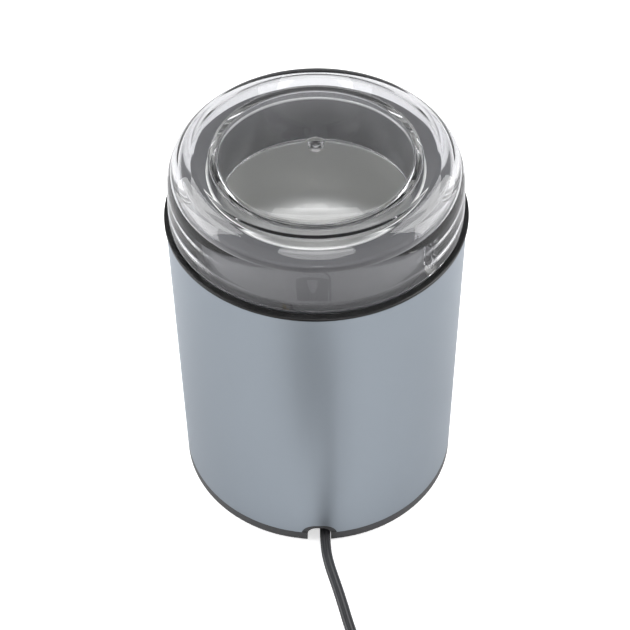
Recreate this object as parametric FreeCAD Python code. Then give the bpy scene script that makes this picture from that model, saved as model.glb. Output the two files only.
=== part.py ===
"""Electric spice grinder: a metal-sleeved motor base, a steel grinding bowl and a clear press-down lid.

Millimetres, +Z up. The origin is the centre of the footprint on the worktop, and the cord leaves at -Y.
Every piece that comes apart on the bench is its own node in parts/NODE.step.
"""
import FreeCAD
import Part
import math
import os

V = FreeCAD.Vector

# Body and sleeve
body_radius = 48.0
sleeve_wall = 0.8
foot_stand = 0.6
strip_top = 4.6
seat_gap = 0.05
slide_gap = 0.1

# Top band, lid channel and collar of the inner housing
band_overhang = 0.5
band_height = 1.0
band_land = 1.0
channel_depth = 5.0
channel_floor_wall = 2.0
channel_width = 5.6
collar_rise = 8.2
collar_wall = 2.0
housing_wall = 1.8
cup_side_gap = 0.8
cup_floor_gap = 0.3
seal_hole_radius = 8.1

# Grinding bowl
bowl_flange_width = 7.2
bowl_flange_overhang = 0.2
bowl_flange_lip = 1.0
bowl_depth = 39.0
bowl_sheet = 0.6
bowl_corner = 9.0
bowl_draft = 0.4
bowl_eye_radius = 5.2
bowl_eye_rise = 3.0
bowl_eye_ledge = 2.0
bowl_eye_slope = 1.0

# Lid: heights follow from one another, and radii are taken in from the rim
lid_rim_inset = 0.7
lid_draft = 1.4
lid_gap = 1.15
lid_wall_height = 16.55
lid_wall = 2.9
lid_shoulder_inset = 4.9
lid_shoulder_rise = 4.6
lid_crest_inset = 8.1
lid_crest_rise = 2.3
lid_valley_inset = 0.2
lid_valley_drop = 1.5
lid_dome_inset = 0.8
lid_dome_step = 0.5
lid_dome_rise = 3.9
lid_roof = 2.6
lid_skirt_gap = 0.6
lid_skirt_wall = 2.3
lid_skirt_depth = 10.1
lid_spigot_gap = 0.6
lid_spigot_wall = 2.2
lid_spigot_depth = 3.9
lid_nub_radius = 2.2
lid_nub_rise = 0.5
key_rib_azimuths = (51.0, 58.0)
key_rib_width = 1.0
key_rib_heights = (8.55, 5.55)
key_rib_depth = 2.2

# Lid switch
press_travel = 1.0
plunger_azimuth = 54.5
plunger_side_gap = 0.3
plunger_head_radius = 2.0
plunger_head_height = 1.1
plunger_stem_radius = 1.5
plunger_stop_radius = 2.15
spring_wall = 0.5
spring_length = 8.0
switch_length = 19.8
switch_depth = 6.3
switch_height = 10.2
switch_offset = 1.0
switch_button_radius = 1.2

# Motor
shaft_radius = 3.0
bearing_bore_gap = 0.03
bearing_radius = 6.5
bearing_length = 6.3
bearing_boss_wall = 1.5
bearing_boss_height = 5.0
bearing_boss_floor = 0.8
core_radius = 14.9
core_height = 22.0
core_slots = 12
core_slot_width = 3.0
core_slot_depth = 6.0
air_gap = 0.6
stator_half_x = 29.0
stator_half_y = 25.0
stator_corner = 9.0
coil_inner_x = 1.5
coil_side_x = 13.0
coil_outer_x = 22.2
coil_bore_gap = 0.7
coil_depth = 4.3
coil_overhang = 6.8
winding_overhang = 6.0
commutator_radius = 9.0
commutator_stand = 6.0
commutator_height = 10.0
brush_width = 5.8
brush_height = 5.8
brush_length = 9.0
brush_spring_radius = 2.2
holder_gap = 1.6
holder_outer = 25.5
holder_half_width = 5.4
holder_roof = 1.8
holder_end_wall = 1.2
fan_radius = 21.5
fan_clearance = 1.0
fan_disc = 1.2
fan_blade_height = 3.6
fan_blades = 9
bracket_sheet = 1.5
bracket_leg_x = 24.3
bracket_foot_x = 29.0
bracket_half_y = 21.0
bracket_window = 22.0
upper_bracket_height = 16.0
upper_bridge_width = 26.0
lower_bracket_height = 24.0
lower_bridge_width = 30.0
motor_stand = 12.6
tie_screw_x = 26.8
tie_screw_y = 17.6
tie_screw_radius = 1.4
tie_screw_head_radius = 2.2
tie_screw_head_height = 2.15
mount_x = 18.0
mount_height = 3.2
mount_radius = 4.6
mount_bore = 1.6
mount_screw_radius = 1.15
mount_screw_head_radius = 2.6
mount_screw_head_height = 1.15

# Blade and drive
blade_tip_gap = 5.1
blade_width = 10.5
blade_sheet = 1.2
blade_stand = 7.1
blade_tip_rise = 4.6
blade_flat_depth = 2.2
hub_radius = 5.6
hub_skirt_radius = 9.4
hub_skirt_wall = 1.2
nut_radius = 3.6
nut_height = 3.2

# Base plate
base_floor_bottom = 1.4
base_floor_top = 3.4
spigot_wall = 2.0
spigot_top = 9.0
notch_width = 8.1
notch_top = 7.0
notch_run = 14.0
arch_width = 12.2
arch_top = 8.6
foot_radius = 5.0
foot_inset = 10.5
foot_recess = 0.5
foot_edge = 0.4
foot_angles = (45.0, 135.0, 225.0, 315.0)
post_bite = 0.3
post_radius = 3.5
post_bottom = 5.2
post_top = 26.0
post_angles = (90.0, 200.0, 340.0)
screw_radius = 1.4
screw_head_radius = 2.9
screw_head_height = 1.8
screw_length = 14.0
vent_count = 5
vent_start = -4.0
vent_pitch = 5.6
vent_width = 2.4
vent_length = 24.0

# Electrical parts in the base
capacitor_width = 18.0
capacitor_depth = 6.5
capacitor_height = 10.9
capacitor_post_gap = 5.2
terminal_width = 12.0
terminal_depth = 10.0
terminal_height = 8.9
terminal_x = -18.0
terminal_lap = 2.0
terminal_pitch = 6.0
terminal_bore = 1.7
lead_radius = 0.8

# Cord, its clamp and its plug
cord_diameter = 3.6
cord_rest = cord_diameter / 2 + 0.05
clamp_inset = 17.0
clamp_depth = 6.0
clamp_top = 10.2
clamp_half_width = 9.5
clamp_seat_top = 4.0
coil_centre = (-7.9, -body_radius - 88.0)
coil_pitch = 4.1
coil_turns_in = 4.25
coil_turns_out = 4.0
coil_inner_radius = 11.475
coil_tail = 14.0
coil_layer = 4.1
plug_neck_length = 10.0
plug_length = 21.0
plug_width = 22.0
plug_neck_radius = 2.3
pin_spacing = 12.7
pin_length = 15.9
pin_width = 6.3
pin_sheet = 1.5

# Radii that follow from the ones above, from the sleeve inwards
sleeve_bore = body_radius - sleeve_wall
skirt_bore = sleeve_bore - housing_wall
spigot_radius = skirt_bore - slide_gap
channel_radius = sleeve_bore - band_land
collar_radius = channel_radius - channel_width
bowl_flange_radius = collar_radius + bowl_flange_overhang
bowl_radius = bowl_flange_radius - bowl_flange_width
coil_inner_y = core_radius + air_gap + coil_bore_gap
coil_outer_y = coil_inner_y + coil_depth
holder_inner = commutator_radius + holder_gap
cup_radius = bowl_radius + bowl_sheet + cup_side_gap
cup_outer = cup_radius + housing_wall
lid_rim_radius = body_radius - lid_rim_inset
lid_spigot_radius = channel_radius - lid_spigot_gap
lid_skirt_radius = bowl_radius - lid_skirt_gap
plunger_centre = collar_radius + plunger_side_gap + plunger_head_radius
post_centre = skirt_bore + post_bite - post_radius
foot_centre = body_radius - foot_inset
clamp_front = clamp_inset - body_radius
clamp_back = clamp_front + clamp_depth

# Heights that follow from the ones above, from the worktop up
lower_bracket_bottom = base_floor_top + motor_stand
core_bottom = lower_bracket_bottom + lower_bracket_height
core_top = core_bottom + core_height
upper_bracket_top = core_top + upper_bracket_height
cup_floor_under = upper_bracket_top + mount_height
cup_floor_top = cup_floor_under + collar_wall
bowl_floor = cup_floor_top + cup_floor_gap + bowl_sheet
bowl_top = bowl_floor + bowl_depth
collar_top = bowl_top - bowl_sheet
band_top = collar_top - collar_rise
sleeve_top = band_top - band_height
channel_floor = band_top - channel_depth
channel_under = channel_floor - channel_floor_wall
lid_bottom = band_top + lid_gap
lid_wall_top = lid_bottom + lid_wall_height
lid_shoulder_top = lid_wall_top + lid_shoulder_rise
lid_crest_top = lid_shoulder_top + lid_crest_rise
lid_valley_top = lid_crest_top - lid_valley_drop
lid_dome_top = lid_valley_top + lid_dome_rise
lid_skirt_bottom = bowl_top - lid_skirt_depth
spring_top = channel_under - 1.1
spring_bottom = spring_top - spring_length
commutator_bottom = lower_bracket_bottom + commutator_stand
commutator_top = commutator_bottom + commutator_height
brush_middle = commutator_bottom + commutator_height / 2 - 0.6
fan_bottom = core_top + coil_overhang + fan_clearance
blade_bottom = bowl_floor + blade_stand
shaft_top = blade_bottom + blade_sheet + nut_height - 0.6
shaft_bottom = lower_bracket_bottom - 1.5
foot_top = base_floor_bottom + foot_recess


# Solids that many pieces share

def cylinder(radius, bottom, top, x=0.0, y=0.0):
    return Part.makeCylinder(radius, top - bottom, V(x, y, bottom))


def ring(outer, inner, bottom, top, x=0.0, y=0.0):
    bore = cylinder(inner, bottom - 1, top + 1, x, y)
    return cylinder(outer, bottom, top, x, y).cut(bore)


def block(x0, x1, y0, y1, z0, z1):
    return Part.makeBox(x1 - x0, y1 - y0, z1 - z0, V(x0, y0, z0))


def outline(points, place):
    """A closed face through corner points; a third number on a point is the radius of its corner."""
    count = len(points)
    edges = []
    ends = []
    for i in range(count):
        here = V(points[i][0], points[i][1], 0)
        if len(points[i]) < 3:
            ends.append((here, here, None))
            continue
        before = V(points[i - 1][0], points[i - 1][1], 0) - here
        after = V(points[(i + 1) % count][0], points[(i + 1) % count][1], 0) - here
        half_angle = before.getAngle(after) / 2
        reach = points[i][2] / math.tan(half_angle)
        before.normalize()
        after.normalize()
        inward = before + after
        inward.normalize()
        middle = here + inward * (points[i][2] / math.sin(half_angle) - points[i][2])
        ends.append((here + before * reach, here + after * reach, middle))
    for i in range(count):
        first, last, middle = ends[i]
        if middle is not None:
            edges.append(Part.Arc(place(first), place(middle), place(last)).toShape())
        following = ends[(i + 1) % count][0]
        if (following - last).Length > 1e-6:
            edges.append(Part.LineSegment(place(last), place(following)).toShape())
    return Part.Face(Part.Wire(edges))


def on_section(point):
    """Across and up: the plane that round pieces are turned from."""
    return V(point.x, 0, point.y)


def on_plan(point):
    return V(point.x, point.y, 0)


def turned(points):
    return outline(points, on_section).revolve(V(0, 0, 0), V(0, 0, 1), 360)


def pressed(points, half_depth):
    """A section in X and Z drawn out evenly both ways along Y."""
    solid = outline(points, on_section).extrude(V(0, 2 * half_depth, 0))
    solid.translate(V(0, -half_depth, 0))
    return solid


def plate(points, bottom, top):
    solid = outline(points, on_plan).extrude(V(0, 0, top - bottom))
    solid.translate(V(0, 0, bottom))
    return solid


def spun(shape, degrees, x=0.0, y=0.0):
    copy = shape.copy()
    copy.rotate(V(x, y, 0), V(0, 0, 1), degrees)
    return copy


def polar(radius, degrees):
    return radius * math.cos(math.radians(degrees)), radius * math.sin(math.radians(degrees))


def azimuth_angle(azimuth):
    """Degrees from +X for a place counted from the cord side towards +X."""
    return azimuth - 90.0


def export(node, *solids):
    shape = solids[0] if len(solids) == 1 else Part.makeCompound(list(solids))
    if not shape.isValid():
        raise ValueError(node + " is not valid")
    shape.exportStep("parts/" + node + ".step")


# Outer sleeve and inner housing

def arch(width, top, half_depth, centre_y, bottom):
    half = width / 2
    bend = min(half, top - bottom) * 0.8
    points = [(-half, bottom), (half, bottom), (half, top, bend), (-half, top, bend)]
    solid = pressed(points, half_depth)
    solid.translate(V(0, centre_y, 0))
    return solid


def metal_sleeve():
    sleeve = ring(body_radius, sleeve_bore, strip_top, sleeve_top)
    cut = arch(arch_width + 2 * slide_gap, arch_top + slide_gap, 4.0, -body_radius, 0.0)
    return sleeve.cut(cut)


def inner_housing():
    outer = sleeve_bore - seat_gap
    band = body_radius + band_overhang
    inner_collar = collar_radius - collar_wall
    skirt_bottom = strip_top + slide_gap
    points = [
        (skirt_bore, skirt_bottom), (outer, skirt_bottom), (outer, sleeve_top), (band, sleeve_top),
        (band, band_top, 0.3), (channel_radius, band_top, 0.3), (channel_radius, channel_floor),
        (collar_radius, channel_floor), (collar_radius, collar_top, 0.6), (cup_radius, collar_top, 0.6),
        (cup_radius, cup_floor_top, bowl_corner), (seal_hole_radius, cup_floor_top),
        (seal_hole_radius, cup_floor_under),
        (cup_outer, cup_floor_under, bowl_corner + housing_wall), (cup_outer, collar_top - collar_wall),
        (inner_collar, collar_top - collar_wall), (inner_collar, channel_under),
        (skirt_bore, channel_under),
    ]
    housing = turned(points)
    for side in (-1, 1):
        boss = cylinder(2.6, cup_floor_under - 0.2, cup_floor_under + 1, side * mount_x, 0)
        housing = housing.fuse(boss)
        housing = housing.cut(cylinder(1.2, 0, cup_floor_under + 1.4, side * mount_x, 0))
    for angle in post_angles:
        x, y = polar(post_centre, angle)
        post = cylinder(post_radius, post_bottom, post_top, x, y)
        post = post.common(cylinder(outer - 0.3, 0, post_top))
        housing = housing.fuse(post)
        housing = housing.cut(cylinder(screw_radius + seat_gap, 0, post_top - 2, x, y))
    housing = housing.cut(arch(arch_width + 2 * slide_gap, arch_top + slide_gap, 5.0, -body_radius, 0.0))
    turn = azimuth_angle(plunger_azimuth)
    for side in (-1, 1):
        near = switch_length / 2 + 3.2
        low, high = sorted((side * near, side * (near + 1.8)))
        rib = block(cup_outer - 0.5, skirt_bore + 0.5, low, high, spring_bottom - 5, channel_under + 0.5)
        housing = housing.fuse(spun(rib.common(cylinder(outer, 0, sleeve_top)), turn))
    guide_radius = plunger_stem_radius + slide_gap
    guide = cylinder(guide_radius, channel_under - 2, channel_floor + 2, plunger_centre, 0)
    return housing.cut(spun(guide, turn)).removeSplitter()


# Base plate, feet and screws

def base_plate():
    rim_in = spigot_radius - spigot_wall
    base = turned([
        (0, base_floor_bottom), (body_radius - 2.4, base_floor_bottom), (body_radius - 1.6, foot_stand),
        (body_radius, foot_stand, 0.35), (body_radius, strip_top - seat_gap),
        (spigot_radius, strip_top - seat_gap), (spigot_radius, spigot_top), (rim_in, spigot_top),
        (rim_in, base_floor_top), (0, base_floor_top),
    ])
    tab = arch(arch_width, arch_top, 1.4, -body_radius + 1.5, foot_stand)
    base = base.fuse(tab.common(cylinder(body_radius - 0.25, 0, arch_top + 1)))
    base = base.fuse(block(-6.0, 6.0, clamp_front, clamp_back, base_floor_top - 0.5, clamp_seat_top))
    for angle in post_angles:
        x, y = polar(post_centre, angle)
        base = base.cut(cylinder(post_radius + 0.3, base_floor_top, spigot_top + 1, x, y))
        boss = cylinder(post_radius, base_floor_top - 0.5, post_bottom - seat_gap, x, y)
        boss = boss.common(cylinder(spigot_radius, 0, spigot_top))
        base = base.fuse(boss)
        base = base.cut(cylinder(screw_radius + slide_gap, 0, post_bottom + 1, x, y))
        base = base.cut(cylinder(screw_head_radius + slide_gap, 0, base_floor_top + 0.05, x, y))
    slot = block(-notch_width / 2, notch_width / 2, -body_radius - 1, -body_radius + notch_run, 0, 4.0)
    base = base.cut(slot)
    base = base.cut(arch(notch_width, notch_top, 6.0, -body_radius, 0.0))
    for row in range(vent_count):
        y = vent_start + vent_pitch * row
        vent = block(-vent_length / 2, vent_length / 2, y, y + vent_width, 0, spigot_top)
        base = base.cut(vent)
    for angle in foot_angles:
        x, y = polar(foot_centre, angle)
        base = base.cut(cylinder(foot_radius + seat_gap, 0, foot_top, x, y))
    return base.removeSplitter()


def rubber_feet():
    feet = []
    for angle in foot_angles:
        x, y = polar(foot_centre, angle)
        foot = turned([(0, 0), (foot_radius, 0, foot_edge), (foot_radius, foot_top), (0, foot_top)])
        foot.translate(V(x, y, 0))
        feet.append(foot)
    return feet


def pan_screw(x, y, bottom, head_height, head_radius, radius, length):
    head = [
        (0, bottom), (head_radius, bottom, 0.5), (head_radius, bottom + head_height),
        (radius, bottom + head_height), (radius, bottom + head_height + length - 0.6),
        (radius - 0.6, bottom + head_height + length), (0, bottom + head_height + length),
    ]
    screw = turned(head)
    slot = block(-head_radius, head_radius, -0.4, 0.4, bottom - 1, bottom + 0.7)
    cross = screw.cut(slot.common(cylinder(head_radius * 0.7, bottom - 1, bottom + 1)))
    cross = cross.cut(spun(slot, 90).common(cylinder(head_radius * 0.7, bottom - 1, bottom + 1)))
    cross.translate(V(x, y, 0))
    return cross


def base_screws():
    screws = []
    height = screw_head_height
    for angle in post_angles:
        x, y = polar(post_centre, angle)
        bottom = base_floor_top - height
        screws.append(pan_screw(x, y, bottom, height, screw_head_radius, screw_radius, screw_length))
    return screws


# Grinding bowl and its seal

def grinding_bowl():
    sheet = bowl_sheet
    foot = bowl_radius - bowl_draft
    ledge = bowl_eye_radius + bowl_eye_ledge
    ledge_under = ledge - sheet / 2
    eye_top = bowl_floor + bowl_eye_rise
    lip_bottom = collar_top - bowl_flange_lip
    lip_bore = bowl_flange_radius - bowl_flange_overhang + seat_gap
    points = [
        (bowl_flange_radius, lip_bottom), (bowl_flange_radius, bowl_top, 0.7),
        (bowl_radius, bowl_top, 1.4), (foot, bowl_floor, bowl_corner),
        (ledge + bowl_eye_slope, bowl_floor, 1.0),
        (ledge, eye_top, 0.6), (bowl_eye_radius, eye_top), (bowl_eye_radius, eye_top - sheet),
        (ledge_under, eye_top - sheet), (ledge_under + bowl_eye_slope, bowl_floor - sheet),
        (foot + sheet, bowl_floor - sheet, bowl_corner + sheet), (bowl_radius + sheet, collar_top, 0.8),
        (lip_bore, collar_top), (lip_bore, lip_bottom),
    ]
    return turned(points)


def shaft_seal():
    """Rubber bush in the cup floor that keeps grounds out of the motor."""
    lip = shaft_radius + 0.3
    eye = bowl_eye_radius - 0.3
    waist = seal_hole_radius - slide_gap
    flange = waist + 1.6
    eye_top = bowl_floor + bowl_eye_rise
    points = [
        (lip, cup_floor_under - 1.0), (flange, cup_floor_under - 1.0), (flange, cup_floor_under - seat_gap),
        (waist, cup_floor_under - seat_gap), (waist, cup_floor_top + 0.2), (eye, cup_floor_top + 0.2),
        (eye, eye_top + 0.4), (lip, eye_top + 0.4),
    ]
    return turned(points)


# Clear lid

def lid():
    inner = lid_spigot_radius - lid_spigot_wall
    top_radius = lid_rim_radius - lid_draft
    wall_in_top = top_radius - lid_wall
    shoulder_in = lid_shoulder_top - lid_roof - 0.4
    skirt_in = lid_skirt_radius - lid_skirt_wall
    spigot_bottom = lid_bottom - lid_spigot_depth
    bore_foot = inner - 0.05
    valley_radius = lid_skirt_radius - lid_valley_inset
    dome_edge = valley_radius - lid_dome_inset
    dome_bottom = lid_valley_top + lid_dome_step
    roof_under = lid_valley_top - lid_roof
    points = [
        (inner, spigot_bottom, 0.3), (lid_spigot_radius, spigot_bottom, 0.4),
        (lid_spigot_radius, lid_bottom), (lid_rim_radius, lid_bottom, 0.4), (top_radius, lid_wall_top, 3.0),
        (lid_rim_radius - lid_shoulder_inset, lid_shoulder_top, 3.2),
        (lid_rim_radius - lid_crest_inset, lid_crest_top, 1.6), (valley_radius, lid_valley_top, 0.6),
        (dome_edge, dome_bottom), (0, dome_bottom), (0, roof_under), (skirt_in, roof_under),
        (skirt_in, lid_skirt_bottom, 0.5), (lid_skirt_radius - 0.3, lid_skirt_bottom, 0.5),
        (lid_skirt_radius, shoulder_in, 1.2), (wall_in_top - 2.4, shoulder_in, 2.0),
        (wall_in_top, lid_wall_top - 3.2, 2.0), (bore_foot, spigot_bottom + 1.2),
    ]
    shell = turned(points)
    dome_bottom -= seat_gap
    rise = lid_dome_top - dome_bottom
    big = (dome_edge ** 2 + rise ** 2) / (2 * rise)
    cap = Part.makeSphere(big, V(0, 0, lid_dome_top - big))
    cap = cap.common(cylinder(dome_edge, dome_bottom, lid_dome_top + 1))
    under = Part.makeSphere(big + 4, V(0, 0, lid_dome_top - lid_roof - big - 4))
    under = under.common(cylinder(skirt_in, roof_under - 0.01, lid_dome_top))
    shell = shell.fuse(cap).cut(under)
    nub = cylinder(lid_nub_radius, lid_dome_top - 1, lid_dome_top + lid_nub_rise)
    shell = shell.fuse(nub.makeFillet(lid_nub_rise * 0.8, [nub.Edges[0]]))
    half = key_rib_width / 2
    for azimuth, height in zip(key_rib_azimuths, key_rib_heights):
        rib = block(inner - key_rib_depth, inner + 1.0, -half, half, lid_bottom, lid_bottom + height)
        shell = shell.fuse(spun(rib, azimuth_angle(azimuth)))
    return shell.removeSplitter()


# Lid switch: plunger, return spring, holder and snap switch

def at_plunger(shape):
    return spun(shape, azimuth_angle(plunger_azimuth))


def switch_plunger():
    head_top = lid_bottom - lid_spigot_depth - seat_gap
    x = plunger_centre
    stop_top = channel_under - slide_gap
    foot = spring_bottom - 2.8
    head = cylinder(plunger_head_radius, head_top - plunger_head_height, head_top, x)
    stem = cylinder(plunger_stem_radius, foot, head_top - plunger_head_height, x)
    stop = cylinder(plunger_stop_radius, spring_top, stop_top, x)
    return at_plunger(head.fuse([stem, stop]).removeSplitter())


def plunger_spring():
    """Close-wound return spring, kept as the sleeve that its turns fill."""
    outer = plunger_stem_radius + slide_gap + spring_wall
    inner = plunger_stem_radius + slide_gap
    top = spring_top - seat_gap
    return at_plunger(ring(outer, inner, spring_bottom + seat_gap, top, plunger_centre))


def switch_holder():
    reach = switch_length / 2 + 3.1
    near = cup_outer + 0.5
    sheet = block(near, skirt_bore - slide_gap, -reach, reach, spring_bottom - 1.2, spring_bottom)
    sheet = sheet.common(cylinder(skirt_bore - slide_gap, 0, sleeve_top))
    sheet = sheet.cut(cylinder(plunger_stem_radius + slide_gap, 0, sleeve_top, plunger_centre))
    for side in (-1, 1):
        low, high = sorted((side * (switch_length / 2 + 0.1), side * reach))
        cheek = block(near, near + 6.0, low, high, spring_bottom - 1.2 - switch_height, spring_bottom - 1.0)
        sheet = sheet.fuse(cheek)
    return at_plunger(sheet.removeSplitter())


def switch_frame():
    """Inner face, outer face, bottom and top of the snap switch, before it is turned to its azimuth."""
    middle = plunger_centre - switch_offset
    top = spring_bottom - 1.2 - 2.8
    return middle - switch_depth / 2, middle + switch_depth / 2, top - switch_height, top


def snap_switch():
    inner, outer, bottom, top = switch_frame()
    body = block(inner, outer, -switch_length / 2, switch_length / 2, bottom, top)
    body = body.common(cylinder(skirt_bore - slide_gap, 0, sleeve_top))
    body = body.cut(cylinder(switch_button_radius + slide_gap, top - 4.0, top + 1, plunger_centre))
    for side in (-1, 1):
        pin = Part.makeCylinder(1.2, switch_depth + 2, V(inner - 1, side * 4.8, bottom + 2.6), V(1, 0, 0))
        body = body.cut(pin)
    middle = (inner + outer) / 2
    for place in (-8.0, 0.0, 8.0):
        tab = block(middle - 0.3, middle + 0.3, place - 1.4, place + 1.4, bottom - 5.0, bottom + 0.2)
        body = body.fuse(tab)
    return at_plunger(body.removeSplitter())


def switch_button():
    top = spring_bottom - 2.8 - seat_gap
    bottom = switch_frame()[3] - 4.0 + press_travel + 0.2
    return at_plunger(cylinder(switch_button_radius, bottom, top, plunger_centre))


# Motor that turns: shaft, core, winding, commutator, fan, drive hub, blade and nut

def motor_shaft():
    tip = shaft_radius - 0.4
    neck = shaft_radius - 1.0
    points = [
        (0, shaft_bottom), (tip, shaft_bottom), (shaft_radius, shaft_bottom + 0.4),
        (shaft_radius, blade_bottom - blade_flat_depth), (neck, blade_bottom - blade_flat_depth),
        (neck, shaft_top), (0, shaft_top),
    ]
    return turned(points)


def around_core(shape):
    return [spun(shape, 360.0 * i / core_slots) for i in range(core_slots)]


def rotor_core():
    core = ring(core_radius, shaft_radius, core_bottom, core_top)
    half = core_slot_width / 2
    depth = core_radius - core_slot_depth
    slot = block(depth, core_radius - 1.0, -half, half, core_bottom - 1, core_top + 1)
    mouth = block(core_radius - 2, core_radius + 1, -0.7, 0.7, core_bottom - 1, core_top + 1)
    return core.cut(around_core(slot.fuse(mouth).removeSplitter()))


def rotor_winding():
    half = core_slot_width / 2 - seat_gap
    depth = core_radius - core_slot_depth + seat_gap
    outer = core_radius - 1.0 - seat_gap
    low = core_bottom - winding_overhang
    high = core_top + winding_overhang
    lower = turned([
        (shaft_radius + 1, low, 1.0), (outer - 1.2, low, 2.4), (outer - 0.4, core_bottom, 0.6),
        (shaft_radius + 1, core_bottom),
    ])
    upper = turned([
        (shaft_radius + 1, core_top), (outer - 0.4, core_top, 0.6), (outer - 1.2, high, 2.4),
        (shaft_radius + 1, high, 1.0),
    ])
    bar = block(depth, outer, -half, half, core_bottom - 0.5, core_top + 0.5)
    return lower.fuse([upper] + around_core(bar)).removeSplitter()


def commutator():
    top = commutator_top
    drum = ring(commutator_radius, shaft_radius, commutator_bottom, top)
    riser = ring(commutator_radius + 1.0, shaft_radius, top - 1.2, top)
    drum = drum.fuse(riser).removeSplitter()
    depth = commutator_radius - 1.2
    slit = block(depth, commutator_radius + 2, -0.25, 0.25, commutator_bottom - 1, top + 1)
    return drum.cut(around_core(slit))


def cooling_fan():
    disc_top = fan_bottom + fan_disc
    disc = ring(fan_radius, shaft_radius, fan_bottom, disc_top)
    hub = ring(6.0, shaft_radius, fan_bottom, fan_bottom + 2.6)
    blade = block(10.5, fan_radius - 0.3, -0.5, 0.5, disc_top - 0.3, disc_top + fan_blade_height)
    blade = spun(blade, 24.0, 10.5, 0.0)
    blade = blade.common(cylinder(fan_radius, 0, sleeve_top))
    blades = [spun(blade, 360.0 * i / fan_blades) for i in range(fan_blades)]
    return disc.fuse([hub] + blades).removeSplitter()


def drive_hub():
    """Moulded hub that carries the blade and covers the bowl's eye like an umbrella."""
    eye_top = bowl_floor + bowl_eye_rise
    skirt = hub_skirt_radius
    neck = shaft_radius - 1.0
    points = [
        (shaft_radius, eye_top + 0.8), (skirt - hub_skirt_wall, eye_top + 0.8),
        (skirt - hub_skirt_wall, eye_top - 1.2), (skirt, eye_top - 1.2), (skirt, eye_top + 1.2, 1.4),
        (hub_radius, eye_top + 2.4, 0.6), (hub_radius, blade_bottom), (neck, blade_bottom),
        (neck, blade_bottom - blade_flat_depth), (shaft_radius, blade_bottom - blade_flat_depth),
    ]
    return turned(points)


def blade():
    """One strip with both wings twisted out of its plane, one up and one down, and ground to an edge."""
    half = bowl_radius - blade_tip_gap
    flat = blade_width * 0.9
    low = blade_bottom
    high = low + blade_sheet
    rise = blade_tip_rise
    strip = [
        (-half, low - rise * 0.45), (-half, high - rise * 0.45), (-flat, high, 6.0), (flat, high, 6.0),
        (half, high + rise), (half, low + rise), (flat, low, 7.2), (-flat, low, 4.8),
    ]
    bar = pressed(strip, blade_width)
    width = blade_width / 2
    tip = width * 0.45
    plan = [
        (-half, -width, 3.0), (-flat * 0.6, -width * 0.78, 8.0), (flat * 0.6, -width * 0.9, 6.0),
        (half, -tip, 2.0), (half, width, 3.0), (flat * 0.6, width * 0.78, 8.0),
        (-flat * 0.6, width * 0.9, 6.0), (-half, tip, 2.0),
    ]
    shape = bar.common(plate(plan, low - rise, high + rise + 1))
    return shape.cut(cylinder(shaft_radius - 1.0, low - 2, high + 2))


def blade_nut():
    low = blade_bottom + blade_sheet
    points = []
    for corner in range(6):
        points.append(polar(nut_radius, 60.0 * corner))
    nut = plate(points, low, low + nut_height)
    dome = Part.makeSphere(nut_radius + 1.2, V(0, 0, low + nut_height - nut_radius - 1.2))
    nut = nut.common(dome)
    return nut.cut(cylinder(shaft_radius - 1.0, low - 1, shaft_top))


# Motor that stays still: stator, field coils, brackets, bearings, brushes and their holders

def stator():
    x, y = stator_half_x, stator_half_y
    round_off = stator_corner
    under = core_bottom - 1
    over = core_top + 1
    corners = [(-x, -y, round_off), (x, -y, round_off), (x, y, round_off), (-x, y, round_off)]
    stack = plate(corners, core_bottom, core_top)
    stack = stack.cut(cylinder(core_radius + air_gap, under, over))
    reach_x = coil_side_x + 0.4
    reach_y = coil_outer_y + 0.4
    window = block(-reach_x, reach_x, -reach_y, reach_y, under, over)
    pole = block(-x, x, -10.5, 10.5, under, over)
    return stack.cut(window.cut(pole)).cut(tie_holes(under, over))


def field_coils():
    low = core_bottom - coil_overhang
    high = core_top + coil_overhang
    legs = []
    for side in (-1, 1):
        low_y, high_y = sorted((side * coil_inner_y, side * coil_outer_y))
        legs.append(block(coil_inner_x, coil_side_x, low_y, high_y, low, high))
    ends = []
    for bottom, top in ((low, core_bottom - 0.4), (core_top + 0.4, high)):
        bar = block(coil_side_x + 2.5, coil_outer_x, -coil_outer_y, coil_outer_y, bottom, top)
        ends.append(bar)
        for side in (-1, 1):
            low_y, high_y = sorted((side * coil_inner_y, side * coil_outer_y))
            ends.append(block(coil_inner_x, coil_outer_x, low_y, high_y, bottom, top))
    coil = legs[0].fuse([legs[1]] + ends).removeSplitter()
    return [coil, spun(coil, 180)]


def bracket(points, window_low, window_high):
    sheet = pressed(points, bracket_half_y)
    reach = bracket_foot_x + 1
    half = bracket_window / 2
    return sheet.cut(block(-reach, reach, -half, half, window_low, window_high))


def bracket_keep(width, bridge_low, bridge_high, feet_low, feet_high):
    """What stays of a bracket: a narrow bridge with round corners between its full-width feet."""
    reach = bracket_foot_x + 1
    half = width / 2
    corners = [(-reach, -half, 4.0), (reach, -half, 4.0), (reach, half, 4.0), (-reach, half, 4.0)]
    bridge = plate(corners, bridge_low, bridge_high)
    return bridge.fuse(block(-reach, reach, -bracket_half_y, bracket_half_y, feet_low, feet_high))


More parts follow.
